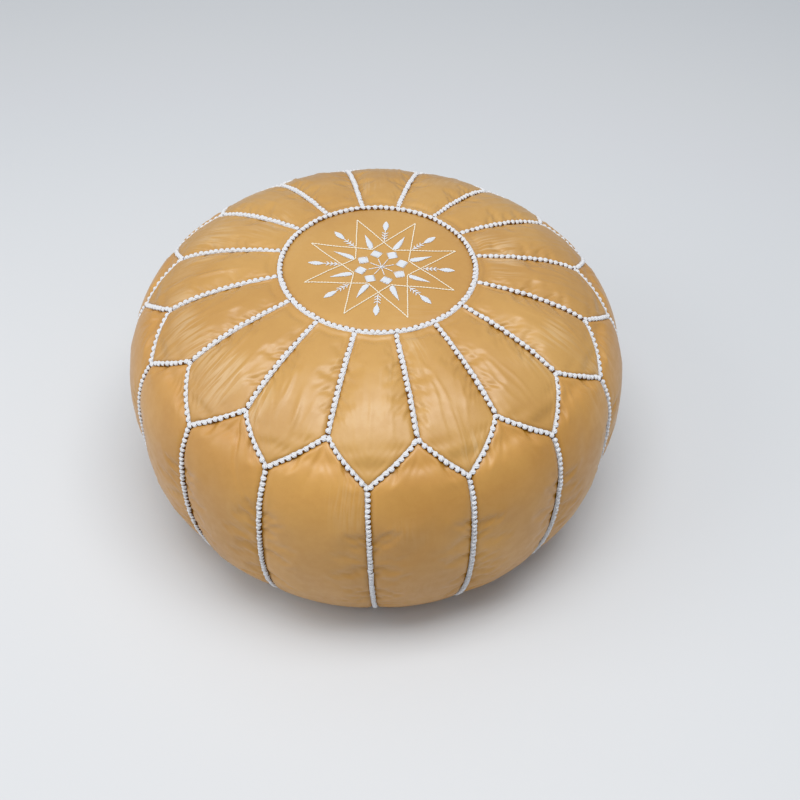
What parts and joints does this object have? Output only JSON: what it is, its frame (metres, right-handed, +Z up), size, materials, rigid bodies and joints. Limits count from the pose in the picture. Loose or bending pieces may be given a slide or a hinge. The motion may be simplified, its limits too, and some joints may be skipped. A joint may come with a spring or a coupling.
{
  "type": "round leather floor pouf",
  "caption": "Round stuffed floor pouf of stitched leather petals and side panels around an embroidered medallion, with raised hand stitching and a zip in its flat base.",
  "frame": {"origin": "centre of the round base, on the floor that the pouf stands on", "axes": "+Z up through the middle of the medallion; -Y through the middle of one petal and along the side seam below it; +X along the zip, in the direction that opens it"},
  "size_m": [0.5308, 0.5308, 0.3],
  "materials": {
    "leather_top": "satin",
    "leather_side": "satin",
    "leather_base": "matte",
    "stitching": "matte",
    "embroidery": "satin",
    "zip_tape": "matte",
    "zip_metal": "satin",
    "cotton_bag": "matte",
    "wadding": "matte"
  },
  "bodies": {
    "pouf": {"medallion_panel": "leather_top", "petal_panel_01": "leather_top", "petal_panel_02": "leather_top", "petal_panel_03": "leather_top", "petal_panel_04": "leather_top", "petal_panel_05": "leather_top", "petal_panel_06": "leather_top", "petal_panel_07": "leather_top", "petal_panel_08": "leather_top", "petal_panel_09": "leather_top", "petal_panel_10": "leather_top", "petal_panel_11": "leather_top", "petal_panel_12": "leather_top", "petal_panel_13": "leather_top", "petal_panel_14": "leather_top", "petal_panel_15": "leather_top", "petal_panel_16": "leather_top", "side_panel_01": "leather_side", "side_panel_02": "leather_side", "side_panel_03": "leather_side", "side_panel_04": "leather_side", "side_panel_05": "leather_side", "side_panel_06": "leather_side", "side_panel_07": "leather_side", "side_panel_08": "leather_side", "side_panel_09": "leather_side", "side_panel_10": "leather_side", "side_panel_11": "leather_side", "side_panel_12": "leather_side", "side_panel_13": "leather_side", "side_panel_14": "leather_side", "side_panel_15": "leather_side", "side_panel_16": "leather_side", "base_panel": "leather_base", "ring_stitching": "stitching", "radial_stitching": "stitching", "point_stitching": "stitching", "side_stitching": "stitching", "star_embroidery": "embroidery", "diamond_embroidery": "embroidery", "teardrop_embroidery": "embroidery", "leaf_embroidery": "embroidery", "zip_tape_left": "zip_tape", "zip_tape_right": "zip_tape", "zip_teeth_left": "zip_metal", "zip_teeth_right": "zip_metal", "zip_top_stops": "zip_metal", "zip_bottom_stop": "zip_metal", "inner_bag": "cotton_bag", "filling": "wadding"},
    "zip_slider": {"zip_slider": "zip_metal"},
    "zip_pull": {"zip_pull": "zip_metal"}
  },
  "joints": [
    {"name": "zip_slide", "type": "slide", "parent": "pouf", "child": "zip_slider", "axis": [1, 0, 0], "range_m": [0, 0.24]},
    {"name": "pull_flip", "type": "hinge", "parent": "zip_slider", "child": "zip_pull", "pos_m": [-0.118, 0, 0.0024], "axis": [0, 1, 0], "range_deg": [0, 180]}
  ]
}
